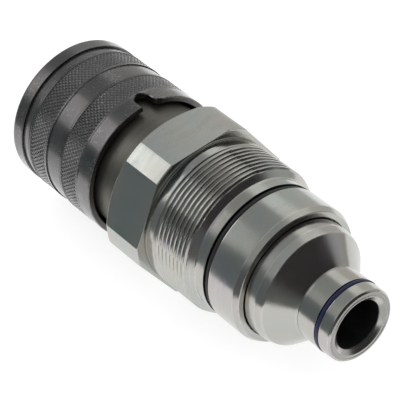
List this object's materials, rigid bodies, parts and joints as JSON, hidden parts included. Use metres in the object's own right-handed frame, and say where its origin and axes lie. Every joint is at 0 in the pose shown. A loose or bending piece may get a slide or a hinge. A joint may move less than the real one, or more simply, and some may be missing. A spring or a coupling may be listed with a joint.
{
  "type": "hydraulic quick disconnect coupler",
  "caption": "Flat-face hydraulic quick coupler socket with knurled locking sleeve, hex body, mounting thread and sealed nose spigot.",
  "frame": {"origin": "middle of the coupler on its axis, which is the centre of its bounding box", "axes": "+X along the axis towards the nose spigot, +Z square out of one hex flat, so the coupler lies on the opposite flat"},
  "size_m": [0.1156, 0.0474, 0.0436],
  "materials": {
    "zinc_plated_steel": "satin zinc plating with faint colours",
    "phosphated_steel": "dark oiled phosphate",
    "blackened_steel": "blackened, knurled bands",
    "hardened_steel": "ground and polished",
    "spring_steel": "bright drawn",
    "black_rubber": "matt",
    "blue_rubber": "matt",
    "backup_ring_plastic": "matt"
  },
  "bodies": {
    "coupler_body": {"cartridge_housing": "zinc_plated_steel", "nose_piece": "zinc_plated_steel", "socket_body": "phosphated_steel", "flat_face_stem": "hardened_steel", "stem_guide": "hardened_steel", "stem_nut": "hardened_steel", "check_guide": "hardened_steel", "sleeve_spring": "spring_steel", "valve_spring": "spring_steel", "check_spring": "spring_steel", "front_snap_ring": "spring_steel", "port_snap_ring": "spring_steel", "check_guide_ring": "spring_steel", "stem_lock_washer": "spring_steel", "housing_o_ring": "black_rubber", "nose_piece_o_ring": "black_rubber", "socket_joint_o_ring": "black_rubber", "probe_seal": "black_rubber", "stem_seal": "black_rubber", "nose_o_ring": "blue_rubber", "probe_backup_ring": "backup_ring_plastic"},
    "sleeve_washer": {"spring_washer": "spring_steel"},
    "sleeve": {"locking_sleeve": "blackened_steel"},
    "valve": {"valve_sleeve": "hardened_steel", "valve_sleeve_seal": "black_rubber"},
    "poppet": {"check_poppet": "hardened_steel", "check_seal": "black_rubber"},
    "ball_1": {"lock_ball_1": "hardened_steel"},
    "ball_2": {"lock_ball_2": "hardened_steel"},
    "ball_3": {"lock_ball_3": "hardened_steel"},
    "ball_4": {"lock_ball_4": "hardened_steel"},
    "ball_5": {"lock_ball_5": "hardened_steel"},
    "ball_6": {"lock_ball_6": "hardened_steel"},
    "ball_7": {"lock_ball_7": "hardened_steel"},
    "ball_8": {"lock_ball_8": "hardened_steel"}
  },
  "joints": [
    {"name": "sleeve_slide", "type": "slide", "parent": "coupler_body", "child": "sleeve_washer", "axis": [1, 0, 0], "range_m": [0, 0.007], "stiffness_N_per_m": 2500, "springref_m": -0.006, "deforming": ["sleeve_spring"]},
    {"name": "sleeve_turn", "type": "hinge", "parent": "sleeve_washer", "child": "sleeve", "pos_m": [-0.04, 0, 0], "axis": [1, 0, 0], "continuous": true},
    {"name": "valve_slide", "type": "slide", "parent": "coupler_body", "child": "valve", "axis": [1, 0, 0], "range_m": [0, 0.009], "stiffness_N_per_m": 1500, "springref_m": -0.01, "deforming": ["valve_spring"]},
    {"name": "poppet_slide", "type": "slide", "parent": "coupler_body", "child": "poppet", "axis": [-1, 0, 0], "range_m": [0, 0.003], "stiffness_N_per_m": 700, "springref_m": -0.003, "deforming": ["check_spring"]},
    {"name": "ball_1_out", "type": "slide", "parent": "coupler_body", "child": "ball_1", "axis": [0, 0, 1], "range_m": [0, 0.0012]},
    {"name": "ball_2_out", "type": "slide", "parent": "coupler_body", "child": "ball_2", "axis": [0, 0.7071, 0.7071], "range_m": [0, 0.0012]},
    {"name": "ball_3_out", "type": "slide", "parent": "coupler_body", "child": "ball_3", "axis": [0, 1, 0], "range_m": [0, 0.0012]},
    {"name": "ball_4_out", "type": "slide", "parent": "coupler_body", "child": "ball_4", "axis": [0, 0.7071, -0.7071], "range_m": [0, 0.0012]},
    {"name": "ball_5_out", "type": "slide", "parent": "coupler_body", "child": "ball_5", "axis": [0, 0, -1], "range_m": [0, 0.0012]},
    {"name": "ball_6_out", "type": "slide", "parent": "coupler_body", "child": "ball_6", "axis": [0, -0.7071, -0.7071], "range_m": [0, 0.0012]},
    {"name": "ball_7_out", "type": "slide", "parent": "coupler_body", "child": "ball_7", "axis": [0, -1, 0], "range_m": [0, 0.0012]},
    {"name": "ball_8_out", "type": "slide", "parent": "coupler_body", "child": "ball_8", "axis": [0, -0.7071, 0.7071], "range_m": [0, 0.0012]}
  ],
  "couplings": [
    {"joint": "ball_1_out", "follows": "sleeve_slide", "ratio": 0.1714},
    {"joint": "ball_2_out", "follows": "sleeve_slide", "ratio": 0.1714},
    {"joint": "ball_3_out", "follows": "sleeve_slide", "ratio": 0.1714},
    {"joint": "ball_4_out", "follows": "sleeve_slide", "ratio": 0.1714},
    {"joint": "ball_5_out", "follows": "sleeve_slide", "ratio": 0.1714},
    {"joint": "ball_6_out", "follows": "sleeve_slide", "ratio": 0.1714},
    {"joint": "ball_7_out", "follows": "sleeve_slide", "ratio": 0.1714},
    {"joint": "ball_8_out", "follows": "sleeve_slide", "ratio": 0.1714}
  ]
}
